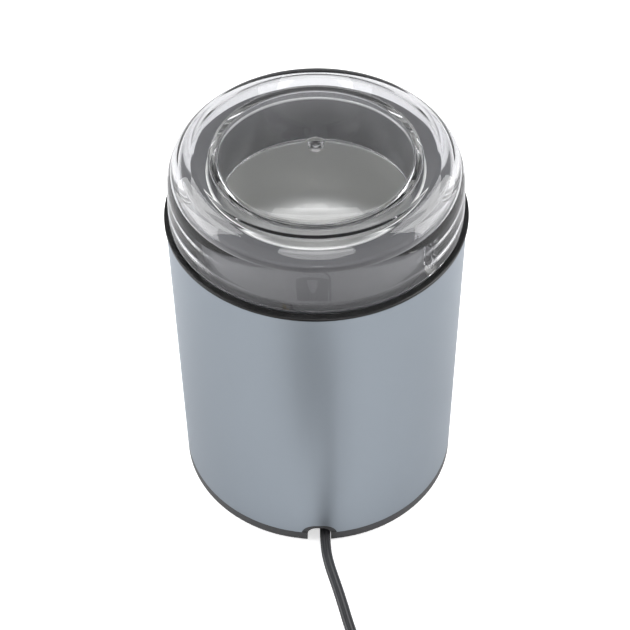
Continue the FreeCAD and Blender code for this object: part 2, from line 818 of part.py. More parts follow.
def upper_bracket():
    top = upper_bracket_top
    sheet = bracket_sheet
    foot = core_top
    x = bracket_leg_x
    points = [
        (-bracket_foot_x, foot), (-x + sheet, foot), (-x + sheet, top - sheet, 1.0),
        (x - sheet, top - sheet, 1.0), (x - sheet, foot), (bracket_foot_x, foot),
        (bracket_foot_x, foot + sheet), (x, foot + sheet), (x, top, 2.5), (-x, top, 2.5),
        (-x, foot + sheet), (-bracket_foot_x, foot + sheet),
    ]
    boss_low = top - bearing_boss_height
    shape = bracket(points, foot + 4.0, top - 5.0)
    shape = shape.common(bracket_keep(upper_bridge_width, foot + 5.0, top + 1, foot - 1, foot + 6.0))
    shape = shape.fuse(cylinder(bearing_radius + bearing_boss_wall, boss_low, top))
    shape = shape.cut(cylinder(bearing_radius + seat_gap, boss_low + bearing_boss_floor, top + 1))
    shape = shape.cut(cylinder(shaft_radius + 1.5, boss_low - 3.0, top + 1))
    for side in (-1, 1):
        shape = shape.cut(cylinder(mount_bore, top - 4, top + 1, side * mount_x))
    return shape.cut(tie_holes(foot - 1, foot + 3)).removeSplitter()


def tie_holes(bottom, top):
    holes = []
    radius = tie_screw_radius + slide_gap
    for sx in (-1, 1):
        for sy in (-1, 1):
            holes.append(cylinder(radius, bottom, top, sx * tie_screw_x, sy * tie_screw_y))
    return holes


def lower_bracket():
    bottom = lower_bracket_bottom
    sheet = bracket_sheet
    foot = core_bottom
    x = bracket_leg_x
    points = [
        (-bracket_foot_x, foot), (-bracket_foot_x, foot - sheet), (-x, foot - sheet), (-x, bottom, 2.5),
        (x, bottom, 2.5), (x, foot - sheet), (bracket_foot_x, foot - sheet), (bracket_foot_x, foot),
        (x - sheet, foot), (x - sheet, bottom + sheet, 1.0), (-x + sheet, bottom + sheet, 1.0),
        (-x + sheet, foot),
    ]
    boss_low = bottom - 1.6 - bearing_boss_floor
    shape = bracket(points, bottom + 5.0, foot - 4.0)
    shape = shape.common(bracket_keep(lower_bridge_width, bottom - 1, foot - 4.0, foot - 6.0, foot + 1))
    arms = block(-6.5, 6.5, -holder_outer, holder_outer, bottom, bottom + sheet)
    shape = shape.fuse([arms, cylinder(bearing_radius + bearing_boss_wall, boss_low, bottom + sheet)])
    seat = boss_low + bearing_boss_floor
    shape = shape.cut(cylinder(bearing_radius + seat_gap, seat, bottom + sheet + 1))
    return shape.cut(tie_holes(foot - 3, foot + 1)).removeSplitter()


def sintered_bearing(bottom):
    top = bottom + bearing_length
    bore = shaft_radius + bearing_bore_gap
    points = [
        (bore, bottom), (bearing_radius, bottom, 0.5), (bearing_radius, top, 1.2), (bore, top),
    ]
    return turned(points)


def upper_bearing():
    return sintered_bearing(upper_bracket_top - bearing_boss_height + bearing_boss_floor + seat_gap)


def lower_bearing():
    return sintered_bearing(lower_bracket_bottom - 1.6 + seat_gap)


def tie_screws():
    screws = []
    height = tie_screw_head_height
    low = core_bottom - bracket_sheet - seat_gap - height
    length = core_height + 2 * bracket_sheet + 2.0
    for sx in (-1, 1):
        for sy in (-1, 1):
            x = sx * tie_screw_x
            y = sy * tie_screw_y
            screws.append(pan_screw(x, y, low, height, tie_screw_head_radius, tie_screw_radius, length))
    return screws


def brush_holders():
    bottom = lower_bracket_bottom + bracket_sheet
    half = brush_width / 2 + slide_gap
    low = brush_middle - brush_height / 2 - slide_gap
    high = brush_middle + brush_height / 2 + slide_gap
    reach = holder_half_width
    holder = block(-reach, reach, holder_inner, holder_outer, bottom, high + holder_roof)
    holder = holder.cut(block(-half, half, holder_inner - 1, holder_outer - holder_end_wall, low, high))
    holder = holder.cut(cylinder(holder_inner, bottom - 1, commutator_top + 2))
    return [holder, spun(holder, 180)]


def carbon_brushes():
    half = brush_width / 2
    low = brush_middle - brush_height / 2
    end = commutator_radius + brush_length
    brush = block(-half, half, commutator_radius - 2, end, low, low + brush_height)
    brush = brush.cut(cylinder(commutator_radius + seat_gap, 0, core_bottom))
    return [brush, spun(brush, 180)]


def brush_springs():
    """Compression springs behind the brushes, kept as the sleeves that their turns fill."""
    start = commutator_radius + brush_length + seat_gap
    length = holder_outer - holder_end_wall - seat_gap - start
    bore = brush_spring_radius - spring_wall
    outer = Part.makeCylinder(brush_spring_radius, length, V(0, start, brush_middle), V(0, 1, 0))
    inner = Part.makeCylinder(bore, length + 2, V(0, start - 1, brush_middle), V(0, 1, 0))
    spring = outer.cut(inner)
    return [spring, spun(spring, 180)]


def motor_mounts():
    """Rubber buffers between the bearing bracket and the cup floor."""
    mounts = []
    top = cup_floor_under - 0.2 - seat_gap
    bottom = upper_bracket_top + seat_gap
    for side in (-1, 1):
        buffer = turned([
            (mount_bore, bottom), (mount_radius, bottom, 0.5), (mount_radius - 0.7, (bottom + top) / 2),
            (mount_radius, top, 0.5), (mount_bore, top),
        ])
        buffer.translate(V(side * mount_x, 0, 0))
        mounts.append(buffer)
    return mounts


def mount_screws():
    screws = []
    seat = upper_bracket_top - bracket_sheet
    bottom = seat - seat_gap - mount_screw_head_height
    length = cup_floor_under + 1.0 - seat
    for side in (-1, 1):
        screws.append(pan_screw(side * mount_x, 0, bottom, mount_screw_head_height, mount_screw_head_radius,
                                mount_screw_radius, length))
    return screws


# Electrical parts in the base

def suppressor_capacitor():
    half = capacitor_width / 2
    back = post_centre - post_radius - capacitor_post_gap
    bottom = base_floor_top + slide_gap
    body = block(-half, half, back - capacitor_depth, back, bottom, bottom + capacitor_height)
    edges = [edge for edge in body.Edges if abs(edge.Vertexes[0].Z - edge.Vertexes[1].Z) > 5]
    return body.makeFillet(1.2, edges)


def terminal_block():
    half = terminal_width / 2
    front = clamp_back - terminal_lap
    bottom = base_floor_top + slide_gap
    top = bottom + terminal_height
    body = block(terminal_x - half, terminal_x + half, front, front + terminal_depth, bottom, top)
    for side in (-1, 1):
        x = terminal_x + side * terminal_pitch / 2
        mouth = V(x, front - 1, bottom + 4.5)
        body = body.cut(Part.makeCylinder(terminal_bore, terminal_depth + 2, mouth, V(0, 1, 0)))
        body = body.cut(cylinder(1.5, bottom + 5.9, top + 1, x, front + terminal_depth / 2))
    return body


def cord_clamp():
    bottom = clamp_seat_top + seat_gap
    half = clamp_half_width
    strap = [
        (-half, bottom), (half + 1.6, bottom), (half + 1.6, bottom + 3.2, 0.8),
        (cord_start[0] + 4.4, clamp_top, 1.6), (cord_start[0] - 4.4, clamp_top, 1.6),
        (-half, bottom + 3.2, 0.8),
    ]
    body = pressed(strap, clamp_depth / 2)
    body.translate(V(0, (clamp_front + clamp_back) / 2, 0))
    return body


def wire(points, radius):
    """Insulated lead through straight runs and tangent arcs."""
    path = route(points, 0.45)
    profile = Part.Wire(Part.makeCircle(radius, path.Edges[0].Vertexes[0].Point,
                                        V(*points[1]) - V(*points[0])))
    return sweep(path, profile)


def route(points, share, report=""):
    """Straight runs joined by arcs; each arc's tangent length is a share of the shorter run beside it."""
    spots = [V(*p) for p in points]
    edges = []
    start = spots[0]
    for i in range(1, len(spots) - 1):
        back = spots[i - 1] - spots[i]
        ahead = spots[i + 1] - spots[i]
        reach = share * min(back.Length, ahead.Length)
        turn = math.pi - back.getAngle(ahead)
        radius = reach / math.tan(turn / 2)
        back.normalize()
        ahead.normalize()
        first = spots[i] + back * reach
        last = spots[i] + ahead * reach
        inward = back + ahead
        inward.normalize()
        middle = spots[i] + inward * (radius / math.cos(turn / 2) - radius)
        edges.append(Part.LineSegment(start, first).toShape())
        edges.append(Part.Arc(first, middle, last).toShape())
        start = last
        if report:
            print(report, "arc", i, "radius %.1f mm" % radius, "turn %.1f degrees" % math.degrees(turn))
    edges.append(Part.LineSegment(start, spots[-1]).toShape())
    return Part.Wire(edges)


def sweep(path, profile):
    maker = Part.BRepOffsetAPI.MakePipeShell(path)
    maker.add(profile)
    maker.build()
    maker.makeSolid()
    return maker.shape()


def internal_leads():
    back = clamp_back - terminal_lap + terminal_depth
    level = base_floor_top + 4.6
    leads = []
    for start, side in ((0.6, 1), (-1.9, -1)):
        end = terminal_x + side * terminal_pitch / 2
        leads.append(wire([
            (start, clamp_back + slide_gap, level - 2.0), (start, clamp_back + 5.5, level - 2.0),
            (start - 5.0, clamp_back + 11.5, level - 1.4), (end + 5.0, back + 6.5, level),
            (end, back + 5.0, level), (end, back + slide_gap, level),
        ], lead_radius))
    return leads


# Cord route, coil and plug

edge_y = -body_radius
cord_start = (1.8, clamp_front, 5.6)
cord_points = [
    cord_start, (1.8, edge_y + 12.5, 5.6), (2.0, edge_y + 6.0, 4.3), (2.0, edge_y - 1.0, 2.0),
    (2.7, edge_y - 9.0, cord_rest), (6.9, edge_y - 23.5, cord_rest), (10.7, edge_y - 40.0, cord_rest),
    (18.0, edge_y - 58.0, cord_rest), (21.0, edge_y - 76.0, cord_rest), (21.0, coil_centre[1], cord_rest),
]


def cord():
    path = route(cord_points, 0.45, "cord")
    direction = V(*cord_points[1]) - V(*cord_points[0])
    profile = Part.Wire(Part.makeCircle(cord_diameter / 2, V(*cord_points[0]), direction))
    tube = sweep(path, profile)
    expected = math.pi * (cord_diameter / 2) ** 2 * path.Length
    print("cord stretch length %.1f mm" % path.Length, "volume ratio %.4f" % (tube.Volume / expected))
    return tube


def coil_point(turn):
    """Middle of the cord after so many turns from the coil's outer start, and the way it runs there."""
    past = min(max(turn, 0.0), coil_turns_in + coil_turns_out) - coil_turns_in
    radius = coil_inner_radius + coil_pitch * abs(past)
    slope = coil_pitch * (past > 0) - coil_pitch * (past < 0)
    share = min(max((past + 0.25) / 0.5, 0.0), 1.0)
    height = coil_layer * share * share * (3 - 2 * share)
    climb = coil_layer * 12 * share * (1 - share)
    angle = -2 * math.pi * turn
    outward = V(math.cos(angle), math.sin(angle), 0)
    along = V(math.sin(angle), -math.cos(angle), 0)
    spot = V(coil_centre[0], coil_centre[1], cord_rest + height) + outward * radius
    way = along * (2 * math.pi * radius) + outward * slope + V(0, 0, climb)
    way.normalize()
    return spot, way


def arc_edge(start, way, end):
    """Arc that leaves start along way and ends at end."""
    chord = end - start
    unit = V(chord)
    unit.normalize()
    side = way - unit * way.dot(unit)
    if side.Length < 1e-6:
        return Part.LineSegment(start, end).toShape()
    half_turn = way.getAngle(unit)
    side.normalize()
    middle = start + chord * 0.5 + side * (chord.Length / 2 * math.tan(half_turn / 2))
    return Part.Arc(start, middle, end).toShape()


def biarc(start, way, end, last_way):
    """Two arcs that leave start along way and reach end along last_way."""
    gap = end - start
    both = way + last_way
    spread = 2 * (1 - way.dot(last_way))
    if spread < 1e-9:
        reach = gap.dot(gap) / (4 * gap.dot(last_way))
    else:
        dot = gap.dot(both)
        reach = (-dot + math.sqrt(dot * dot + spread * gap.dot(gap))) / spread
    joint = (start + end + (way - last_way) * reach) * 0.5
    first = arc_edge(start, way, joint)
    second = arc_edge(end, last_way * -1, joint)
    middle = second.valueAt((second.FirstParameter + second.LastParameter) / 2)
    return [first, Part.Arc(joint, middle, end).toShape()]


def cord_coil():
    steps = int(round((coil_turns_in + coil_turns_out) * 4))
    lead = V(cord_points[-1][0], cord_points[-1][1], cord_points[-1][2])
    first_way = V(0, -1, 0)
    entry = lead + first_way * cord_diameter
    edges = [Part.LineSegment(lead, entry).toShape()]
    here, heading = entry, first_way
    for step in range(1, steps + 1):
        spot, turn_way = coil_point(step / 4.0)
        edges.extend(biarc(here, heading, spot, turn_way))
        here, heading = spot, turn_way
    flat = V(-1, 0, 0)
    tail_start = here + V(-cord_diameter * 1.2, 0, 0)
    tail_start.y = here.y
    edges.extend(biarc(here, heading, tail_start, flat))
    tail_end = tail_start + flat * (coil_tail - cord_diameter * 1.2)
    edges.append(Part.LineSegment(tail_start, tail_end).toShape())
    path = Part.Wire(edges)
    profile = Part.Wire(Part.makeCircle(cord_diameter / 2, lead, first_way))
    tube = sweep(path, profile)
    expected = math.pi * (cord_diameter / 2) ** 2 * path.Length
    print("coil length %.1f mm" % path.Length, "volume ratio %.4f" % (tube.Volume / expected))
    print("coil least gap to itself %.2f mm" % coil_gap(path))
    print("coil tail end", tail_end)
    return tube


def coil_gap(path):
    """Least gap between stretches of the tube that are more than a quarter turn apart along it."""
    samples = []
    run = 0.0
    for edge in path.Edges:
        count = max(2, int(edge.Length / 1.5))
        for point in edge.discretize(count)[:-1]:
            samples.append((run, point))
            run += edge.Length / (count - 1)
    least = 1e9
    for i in range(len(samples)):
        for j in range(i + 1, len(samples)):
            if samples[j][0] - samples[i][0] > 12.0:
                least = min(least, (samples[j][1] - samples[i][1]).Length)
    return least - cord_diameter


def plug_start():
    spot = coil_point(coil_turns_in + coil_turns_out)[0]
    return V(spot.x - coil_tail, spot.y, spot.z)


def plug_body():
    """Moulded two-pin plug with a tapered neck, lying beside the coil."""
    origin = plug_start()
    x, y, z = origin.x, origin.y, origin.z
    neck_end = x - plug_neck_length
    neck = Part.makeCone(plug_neck_radius, plug_neck_radius + 1.1, plug_neck_length, origin, V(-1, 0, 0))
    sections = []
    for along, width, height, corner in (
        (0.0, 8.0, 7.0, 2.0), (6.0, 16.0, z * 2 - 1.2, 2.6), (plug_length - 3.0, plug_width, z * 2, 3.0),
        (plug_length, plug_width, z * 2, 3.0),
    ):
        half_w = width / 2
        half_h = height / 2

        def across(point, place=neck_end - along):
            return V(place, y + point.x, z + point.y)

        corners = [(-half_w, -half_h, corner), (half_w, -half_h, corner), (half_w, half_h, corner),
                   (-half_w, half_h, corner)]
        sections.append(outline(corners, across).OuterWire)
    shell = Part.makeLoft(sections, True, True)
    return neck.fuse(shell).removeSplitter()


def plug_pins():
    origin = plug_start()
    face = origin.x - plug_neck_length - plug_length
    pins = []
    for side in (-1, 1):
        y = origin.y + side * pin_spacing / 2
        pin = block(face - pin_length, face, y - pin_sheet / 2, y + pin_sheet / 2,
                    origin.z - pin_width / 2, origin.z + pin_width / 2)
        tips = [edge for edge in pin.Edges if abs(edge.Vertexes[0].X - face + pin_length) < 1e-6
                and abs(edge.Vertexes[1].X - face + pin_length) < 1e-6 and edge.Length < pin_sheet + 0.01]
        pins.append(pin.makeFillet(1.6, tips))
    return pins


os.makedirs("parts", exist_ok=True)

export("metal_sleeve", metal_sleeve())
export("inner_housing", inner_housing())
export("base_plate", base_plate())
export("rubber_feet", *rubber_feet())
export("base_screws", *base_screws())
export("grinding_bowl", grinding_bowl())
export("shaft_seal", shaft_seal())
export("lid", lid())
export("switch_plunger", switch_plunger())
export("switch_button", switch_button())
export("plunger_spring", plunger_spring())
export("switch_holder", switch_holder())
export("snap_switch", snap_switch())
export("motor_shaft", motor_shaft())
export("rotor_core", rotor_core())
export("rotor_winding", rotor_winding())
export("commutator", commutator())
export("cooling_fan", cooling_fan())
export("drive_hub", drive_hub())
export("blade", blade())
export("blade_nut", blade_nut())
export("stator", stator())
export("field_coils", *field_coils())
export("upper_bracket", upper_bracket())
export("lower_bracket", lower_bracket())
export("upper_bearing", upper_bearing())
export("lower_bearing", lower_bearing())
export("tie_screws", *tie_screws())
export("brush_holders", *brush_holders())
export("carbon_brushes", *carbon_brushes())
export("brush_springs", *brush_springs())
export("motor_mounts", *motor_mounts())
export("mount_screws", *mount_screws())
export("suppressor_capacitor", suppressor_capacitor())
export("terminal_block", terminal_block())
export("cord_clamp", cord_clamp())
export("internal_leads", *internal_leads())
export("cord", cord())
export("cord_coil", cord_coil())
export("plug_body", plug_body())
export("plug_pins", *plug_pins())
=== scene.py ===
"""Press-lid spice grinder seen from behind and above: a satin blue-grey metal sleeve on a dark base ring, a
grey collar with a steel bowl in it, a thick clear lid, and a thin two-core lead that runs off over the table.
Lengths are millimetres, as in the CAD source, but metres in the camera, table and light sections.
"""

import bpy
import bmesh
import math
from mathutils import Matrix, Vector


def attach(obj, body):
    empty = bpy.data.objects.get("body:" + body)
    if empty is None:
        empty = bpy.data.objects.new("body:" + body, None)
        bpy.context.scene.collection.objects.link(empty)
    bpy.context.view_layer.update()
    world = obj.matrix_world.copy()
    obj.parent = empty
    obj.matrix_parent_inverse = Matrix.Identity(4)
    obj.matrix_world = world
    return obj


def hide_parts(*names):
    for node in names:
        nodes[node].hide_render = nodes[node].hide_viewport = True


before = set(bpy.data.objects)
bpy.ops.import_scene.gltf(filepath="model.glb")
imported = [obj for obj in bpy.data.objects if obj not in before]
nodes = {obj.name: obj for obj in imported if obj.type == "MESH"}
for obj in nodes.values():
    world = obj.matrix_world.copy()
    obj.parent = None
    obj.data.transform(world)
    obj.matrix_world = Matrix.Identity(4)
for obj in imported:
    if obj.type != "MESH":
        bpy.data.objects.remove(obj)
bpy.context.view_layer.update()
bpy.context.scene.view_settings.view_transform = "Standard"
mm = 0.001


# ---- Camera ----
# Looks down at 47 degrees on the grinder's cord side, from 0.6 m away with a long lens. From there the lid's
# near side hides the bowl's floor, and only the far wall of the bowl shows.

camera_data = bpy.data.cameras.new("studio_camera")
camera_data.sensor_width = 36.0
camera_data.lens = 91.37
camera_data.clip_start = 0.01
camera_data.clip_end = 20.0
camera = bpy.data.objects.new("studio_camera", camera_data)
bpy.context.scene.collection.objects.link(camera)

camera_place = (0.0, -0.37226, 0.46299)
pitch, yaw, roll = math.radians(46.960), -0.0021233, -0.0108
ahead = Vector((math.sin(yaw) * math.cos(pitch), math.cos(yaw) * math.cos(pitch), -math.sin(pitch)))
level = Vector((math.cos(yaw), -math.sin(yaw), 0.0))
upright = level.cross(ahead)
right = math.cos(roll) * level + math.sin(roll) * upright
top = math.cos(roll) * upright - math.sin(roll) * level
camera.matrix_world = Matrix.Translation(camera_place) @ Matrix((right, top, -ahead)).transposed().to_4x4()
bpy.context.scene.camera = camera


# ---- Power lead ----
# Thin two-core flex in soft dark vinyl: two round cores side by side with a groove between them. It leaves
# the clamp in the base, drops through the notch and snakes away. The rest is wound up, with a two-pin plug.

class Reading:
    """A number or colour that varies over a surface, combined with ordinary arithmetic signs."""

    def __init__(self, graph, socket):
        self.graph = graph
        self.socket = socket

    def work(self, operation, first, second):
        return self.graph.add("Math", {"operation": operation}, {0: first, 1: second})

    def __add__(self, other):
        return self.work("ADD", self, other)

    def __sub__(self, other):
        return self.work("SUBTRACT", self, other)

    def __rsub__(self, other):
        return self.work("SUBTRACT", other, self)

    def __mul__(self, other):
        return self.work("MULTIPLY", self, other)

    def __pow__(self, other):
        return self.work("POWER", self, other)

    __radd__ = __add__
    __rmul__ = __mul__


class Graph:
    """A shader tree whose nodes all come from one method."""

    def __init__(self, tree):
        self.tree = tree
        self.tree.nodes.clear()

    def add(self, kind, settings=None, values=None, output=0):
        """Adds a node of this kind: settings are made first, then values or links go into its sockets."""
        node = self.tree.nodes.new("ShaderNode" + kind)
        for name, value in (settings or {}).items():
            if name == "stops":
                for element, (place, colour) in zip(node.color_ramp.elements, value):
                    element.position = place
                    element.color = colour
            else:
                setattr(node, name, value)
        for name, value in (values or {}).items():
            if isinstance(value, Reading):
                self.tree.links.new(value.socket, node.inputs[name])
            else:
                node.inputs[name].default_value = value
        return Reading(self, node.outputs[output]) if node.outputs else None

    def blend(self, share, first, second):
        """Colour between two others."""
        return self.add("Mix", {"data_type": "RGBA"}, {0: share, 6: first, 7: second}, 2)


class Finish(Graph):
    """A material on one Principled shader. Plain numbers and colours are set on the shader's own sockets."""

    def __init__(self, name, **plain):
        self.material = bpy.data.materials.new(name)
        self.material.use_nodes = True
        super().__init__(self.material.node_tree)
        self.end = self.tree.nodes.new("ShaderNodeOutputMaterial")
        self.shader = self.tree.nodes.new("ShaderNodeBsdfPrincipled")
        self.surface = Reading(self, self.shader.outputs[0])
        self.show(self.surface)
        for socket, value in plain.items():
            self.shader.inputs[socket.replace("_", " ")].default_value = value

    def show(self, reading):
        self.tree.links.new(reading.socket, self.end.inputs["Surface"])

    def feed(self, socket, reading):
        self.tree.links.new(reading.socket, self.shader.inputs[socket])

    def place(self, stretch=(1.0, 1.0, 1.0)):
        """Object coordinates in metres, stretched."""
        spot = self.add("TexCoord", output="Object")
        return self.add("Mapping", {}, {"Vector": spot, "Scale": stretch})

    def noise(self, size_mm, detail=2.0, roughness=0.5, stretch=(1.0, 1.0, 1.0)):
        """Soft random patches from 0 to 1, each about size_mm across."""
        values = {"Vector": self.place(stretch), "Scale": 1.0 / (size_mm * mm), "Detail": detail,
                  "Roughness": roughness}
        return self.add("TexNoise", {}, values, "Fac")

    def bumps(self, height, depth_mm):
        self.feed("Normal", self.add("Bump", {}, {"Height": height, "Distance": depth_mm * mm}))


def grey(value):
    return (value, value, value, 1.0)


def moulded(name, colour, roughness, grain_mm=0.35, depth_mm=0.012):
    """Moulded plastic or rubber: fine spark-eroded grain, slight patches of colour and of gloss."""
    tone_spread, gloss_spread = 0.08, 0.08
    finish = Finish(name, Roughness=roughness, Specular_IOR_Level=0.45)
    patches = finish.noise(14.0, 3.0)
    dark = tuple(c * (1.0 - tone_spread) for c in colour) + (1.0,)
    light = tuple(c * (1.0 + tone_spread) for c in colour) + (1.0,)
    finish.feed("Base Color", finish.blend(patches, dark, light))
    finish.feed("Roughness", roughness + (patches - 0.5) * gloss_spread)
    finish.bumps(finish.noise(grain_mm, 2.0, 0.6), depth_mm)
    return finish


def metal(name, dark, light, roughness, grain_mm=2.0, stretch=(1.0, 1.0, 1.0)):
    """Bare metal with faint streaks in tone and in gloss."""
    finish = Finish(name, Roughness=roughness, Metallic=1.0)
    streaks = finish.noise(grain_mm, 3.0, 0.6, stretch)
    finish.feed("Base Color", finish.blend(streaks, dark + (1.0,), light + (1.0,)))
    finish.feed("Roughness", roughness + (streaks - 0.5) * 0.16)
    finish.bumps(streaks, 0.003)
    return finish


def dress(finish, *names):
    """Gives a finish to nodes that are shown in their own shape."""
    for name in names:
        mesh = nodes[name].data
        mesh.materials.clear()
        mesh.materials.append(finish.material)


cord_width = 3.6
cord_height = 2.6
floor_rest = cord_height / 2 + 0.05
clamp_height = 5.6
lead_points = [
    (1.8, -31.0, clamp_height), (1.8, -35.5, clamp_height), (2.0, -42.0, 4.0), (2.0, -49.0, 1.8),
    (2.7, -57.0, floor_rest), (6.9, -71.5, floor_rest), (10.7, -88.0, floor_rest), (18.0, -106.0, floor_rest),
    (21.0, -124.0, floor_rest), (21.0, -136.0, floor_rest),
]

coil_middle = (-7.9, -136.0)
coil_inner = 11.475
coil_pitch = 4.1
layer_rise = cord_height + 0.25
climb_turns = 0.5
turns_in = 4.25
turns_out = 4.0
points_per_turn = 16
pulled_in = math.cos(math.pi / points_per_turn) ** 0.5
for step in range(1, int((turns_in + turns_out) * points_per_turn) + 1):
    past = step / points_per_turn - turns_in
    climb = min(max(past / climb_turns + 0.5, 0.0), 1.0)
    radius = (coil_inner + coil_pitch * abs(past)) / pulled_in
    angle = -2 * math.pi * step / points_per_turn
    x, y = coil_middle[0] + radius * math.cos(angle), coil_middle[1] + radius * math.sin(angle)
    lead_points.append((x, y, floor_rest + layer_rise * climb * climb * (3 - 2 * climb)))

plug_neck = (-21.9, -163.875, 5.95)
lead_points += [(-12.0, -164.2, 4.6), (-17.0, -163.9, 5.7), plug_neck, (-26.0, -163.875, 5.95)]

core_outline = bpy.data.curves.new("lead_outline", "CURVE")
core_outline.dimensions = "2D"
loop = core_outline.splines.new("BEZIER")
half_w, half_h = cord_width / 2, cord_height / 2
groove, core_middle = half_h * 0.70, half_w * 0.52
groove_handle, core_handle, edge_handle = 0.28, 0.52, 0.62
lobes = [
    (0.0, groove, -groove_handle, 0.0), (-core_middle, half_h, -core_handle, 0.0),
    (-half_w, 0.0, 0.0, -edge_handle), (-core_middle, -half_h, core_handle, 0.0),
    (0.0, -groove, groove_handle, 0.0), (core_middle, -half_h, core_handle, 0.0),
    (half_w, 0.0, 0.0, edge_handle), (core_middle, half_h, -core_handle, 0.0),
]
loop.bezier_points.add(len(lobes) - 1)
for knot, (x, y, handle_x, handle_y) in zip(loop.bezier_points, lobes):
    knot.co = (x * mm, y * mm, 0)
    knot.handle_right = ((x + handle_x) * mm, (y + handle_y) * mm, 0)
    knot.handle_left = ((x - handle_x) * mm, (y - handle_y) * mm, 0)
loop.use_cyclic_u = True
loop.resolution_u = 5
outline_object = bpy.data.objects.new("lead_outline", core_outline)
bpy.context.scene.collection.objects.link(outline_object)
outline_object.hide_render = True
outline_object.hide_viewport = True

lead_curve = bpy.data.curves.new("power_lead", "CURVE")
lead_curve.dimensions = "3D"
run = lead_curve.splines.new("NURBS")
run.points.add(len(lead_points) - 1)
for knot, point in zip(run.points, lead_points):
    knot.co = (point[0] * mm, point[1] * mm, point[2] * mm, 1.0)
run.order_u = 3
run.use_endpoint_u = True
run.resolution_u = 5
lead_curve.twist_mode = "Z_UP"
lead_curve.bevel_mode = "OBJECT"
lead_curve.bevel_object = outline_object
lead_curve.use_fill_caps = True
power_lead = bpy.data.objects.new("power_lead", lead_curve)
bpy.context.scene.collection.objects.link(power_lead)

vinyl = moulded("lead_vinyl", (0.014, 0.014, 0.016), 0.42, 0.5, 0.008)
lead_curve.materials.append(vinyl.material)
dress(vinyl, "plug_body")
turned_brass = metal("brass", (0.56, 0.43, 0.19), (0.68, 0.53, 0.25), 0.28)
dress(turned_brass, "plug_pins")
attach(power_lead, "housing")
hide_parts("cord", "cord_coil")


# ---- Metal sleeve ----
# Thin rolled aluminium tube, bead blasted and anodised to a pale blue grey. It drops over the moulded housing
# and stands on the base ring's ledge, with an arched cut-out for the lead.

sleeve_blue = Finish("sleeve_anodised", Roughness=0.40, Metallic=1.0)
blasting = sleeve_blue.noise(0.45, 3.0, 0.65)
cloud = sleeve_blue.noise(30.0, 3.0, 0.5, (1.0, 1.0, 0.35))
sleeve_tone = blasting * 0.5 + cloud * 0.5
darker_blue, paler_blue = (0.335, 0.375, 0.415, 1), (0.395, 0.440, 0.485, 1)
sleeve_blue.feed("Base Color", sleeve_blue.blend(sleeve_tone, darker_blue, paler_blue))
sleeve_blue.feed("Roughness", 0.36 + blasting * 0.12)
sleeve_blue.bumps(blasting, 0.006)
dress(sleeve_blue, "metal_sleeve")


# ---- Inner housing ----
# One moulding inside the sleeve. Its top shows: a glossy black band over the sleeve's edge, and inside the
# lid a satin grey collar round the bowl. Its outer wall is painted paler than its top: painted light, where
# more light falls on the wall.

band_inner = 46.1
collar_inner = 37.25
collar_lip = 126.0
band_black = grey(0.004)
# The paler wall grey is painted light: the collar's outer wall below the lip shows lighter than its top where
# more light falls on it.
collar_top_grey, collar_wall_painted_light_grey = (0.068, 0.068, 0.071, 1), (0.125, 0.125, 0.130, 1)

housing_plastic = Finish("housing_plastic", Roughness=0.4, Specular_IOR_Level=0.35)
housing_spot = housing_plastic.place()
across, along, up = (housing_plastic.add("SeparateXYZ", {}, {0: housing_spot}, axis) for axis in "XYZ")
distance = (across * across + along * along) ** 0.5


def step_down(finish, reading, place, blur):
    """1 below a place in millimetres and 0 above it."""
    values = {0: reading, 1: (place - blur) * mm, 2: (place + blur) * mm, 3: 1.0, 4: 0.0}
    return finish.add("MapRange", {}, values)


collar_share = step_down(housing_plastic, distance, band_inner, 0.3)
outer_share = 1.0 - step_down(housing_plastic, distance, collar_inner, 0.25)
# Share of painted light: the outer wall below the lip, on the collar and on the trim, gets the paler grey.
painted_light_wall_share = outer_share * step_down(housing_plastic, up, collar_lip, 0.4)
collar_grey = housing_plastic.blend(painted_light_wall_share, collar_top_grey, collar_wall_painted_light_grey)
housing_plastic.feed("Base Color", housing_plastic.blend(collar_share, band_black, collar_grey))
housing_plastic.feed("Roughness", 0.32 + collar_share * 0.14)
housing_plastic.bumps(housing_plastic.noise(0.4, 2.0, 0.6), 0.008)
dress(housing_plastic, "inner_housing")


# ---- Base ring ----
# Black moulded ring that closes the sleeve from below, with the tab that carries the notch for the lead. It
# stands on soft rubber feet.

base_black = moulded("base_plastic", (0.050, 0.050, 0.051), 0.45)
soft_rubber = moulded("rubber", (0.022, 0.022, 0.022), 0.75, 0.5, 0.02)
dress(base_black, "base_plate")
dress(soft_rubber, "rubber_feet")


# ---- Grinding bowl, rim trim and lip ----
# Deep-drawn stainless cup, brushed and dulled by grounds. A moulded trim covers its flange and reaches down
# over the collar. Its dark grey lining in the mouth, where the lid's skirt hangs, is painted shade over the
# steel, which shows dark behind the skirt. A rolled steel lip finishes the mouth.

def finished(name, shape, body, finish, replaced=()):
    """Turns a bmesh into a smooth-shaded piece that rides on body."""
    mesh = bpy.data.meshes.new(name)
    shape.to_mesh(mesh)
    shape.free()
    mesh.shade_smooth()
    mesh.materials.append(finish.material)
    piece = bpy.data.objects.new(name, mesh)
    bpy.context.scene.collection.objects.link(piece)
    weights = piece.modifiers.new("flat_faces_stay_flat", "WEIGHTED_NORMAL")
    weights.mode = "FACE_AREA"
    weights.weight = 100
    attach(piece, body)
    if replaced:
        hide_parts(*replaced)


